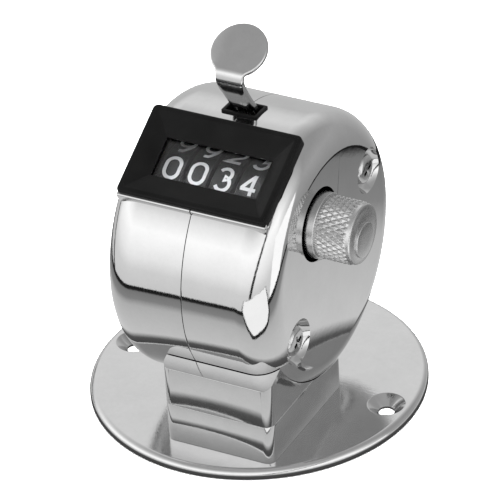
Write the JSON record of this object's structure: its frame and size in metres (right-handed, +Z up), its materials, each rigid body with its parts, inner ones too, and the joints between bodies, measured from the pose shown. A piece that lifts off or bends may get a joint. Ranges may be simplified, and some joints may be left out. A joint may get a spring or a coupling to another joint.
{
  "type": "hand tally counter",
  "caption": "Desk hand tally counter: chromed drum housing on a saddle block and round screw-down base, thumb lever on top, number window, knurled reset knob.",
  "frame": {"origin": "centre of the round base plate's underside", "axes": "+Z up, +X along the number wheel shaft towards the reset knob, +Y away from the reader, so the number window faces -Y"},
  "size_m": [0.055, 0.055, 0.0649],
  "materials": {
    "chrome": "polished",
    "satin_metal": "satin",
    "steel": "plain",
    "brass": "plain",
    "black": "satin black",
    "clear": "clear",
    "wheel_grey": "matt",
    "ivory": "plain"
  },
  "bodies": {
    "housing": {"base_plate": "satin_metal", "saddle_block_lower": "chrome", "saddle_block_upper": "chrome", "block_screw_1": "steel", "block_screw_2": "steel", "saddle_screw_1": "steel", "saddle_screw_2": "steel", "left_case": "chrome", "right_case": "chrome", "upper_pillar": "brass", "upper_case_screw": "steel", "lower_pillar": "brass", "lower_case_screw": "steel", "bezel_frame": "black", "window_lens": "clear", "lever_guide": "black", "left_frame_plate": "steel", "right_frame_plate": "steel", "carry_plate_1": "steel", "carry_plate_2": "steel", "carry_plate_3": "steel", "carry_plate_rod": "steel", "lever_pivot_pin": "steel", "lever_return_spring": "steel", "check_pawl_pin": "steel", "check_pawl_spring": "steel"},
    "reset": {"wheel_shaft": "steel", "shaft_clip": "steel", "reset_knob": "satin_metal"},
    "units": {"units_wheel": "wheel_grey", "units_ratchet": "steel"},
    "tens": {"tens_wheel": "wheel_grey"},
    "hundreds": {"hundreds_wheel": "wheel_grey"},
    "thousands": {"thousands_wheel": "wheel_grey"},
    "pinion_1": {"carry_pinion_1": "ivory"},
    "pinion_2": {"carry_pinion_2": "ivory"},
    "pinion_3": {"carry_pinion_3": "ivory"},
    "lever": {"thumb_lever": "satin_metal", "feed_pawl_pin": "steel"},
    "feed_pawl_body": {"feed_pawl": "brass"},
    "check_pawl_body": {"check_pawl": "brass"}
  },
  "joints": [
    {"name": "reset_turn", "type": "hinge", "parent": "housing", "child": "reset", "pos_m": [0, -0.0042, 0.0365], "axis": [1, 0, 0], "continuous": true},
    {"name": "units_turn", "type": "hinge", "parent": "housing", "child": "units", "pos_m": [0, -0.0042, 0.0365], "axis": [-1, 0, 0], "continuous": true},
    {"name": "tens_turn", "type": "hinge", "parent": "housing", "child": "tens", "pos_m": [0, -0.0042, 0.0365], "axis": [-1, 0, 0], "continuous": true},
    {"name": "hundreds_turn", "type": "hinge", "parent": "housing", "child": "hundreds", "pos_m": [0, -0.0042, 0.0365], "axis": [-1, 0, 0], "continuous": true},
    {"name": "thousands_turn", "type": "hinge", "parent": "housing", "child": "thousands", "pos_m": [0, -0.0042, 0.0365], "axis": [-1, 0, 0], "continuous": true},
    {"name": "pinion_1_turn", "type": "hinge", "parent": "housing", "child": "pinion_1", "pos_m": [0, -0.00106, 0.03327], "axis": [-1, 0, 0], "continuous": true},
    {"name": "pinion_2_turn", "type": "hinge", "parent": "housing", "child": "pinion_2", "pos_m": [0, -0.00106, 0.03327], "axis": [-1, 0, 0], "continuous": true},
    {"name": "pinion_3_turn", "type": "hinge", "parent": "housing", "child": "pinion_3", "pos_m": [0, -0.00106, 0.03327], "axis": [-1, 0, 0], "continuous": true},
    {"name": "lever_press", "type": "hinge", "parent": "housing", "child": "lever", "pos_m": [0, -0.013, 0.041], "axis": [-1, 0, 0], "range_deg": [0, 11], "stiffness_Nm_per_rad": 0.2, "springref_deg": -5.73},
    {"name": "feed_pawl_lift", "type": "hinge", "parent": "lever", "child": "feed_pawl_body", "pos_m": [0, 0.0012, 0.0446], "axis": [1, 0, 0], "range_deg": [0, 12], "stiffness_Nm_per_rad": 0.001, "springref_deg": -5.73},
    {"name": "check_pawl_lift", "type": "hinge", "parent": "housing", "child": "check_pawl_body", "pos_m": [0, -0.0126, 0.0276], "axis": [1, 0, 0], "range_deg": [0, 12], "stiffness_Nm_per_rad": 0.001, "springref_deg": -5.73}
  ],
  "couplings": [
    {"joint": "tens_turn", "follows": "units_turn", "ratio": 0.1},
    {"joint": "hundreds_turn", "follows": "units_turn", "ratio": 0.01},
    {"joint": "thousands_turn", "follows": "units_turn", "ratio": 0.001},
    {"joint": "pinion_1_turn", "follows": "units_turn", "ratio": 0.33333},
    {"joint": "pinion_2_turn", "follows": "units_turn", "ratio": 0.033333},
    {"joint": "pinion_3_turn", "follows": "units_turn", "ratio": 0.0033333}
  ]
}
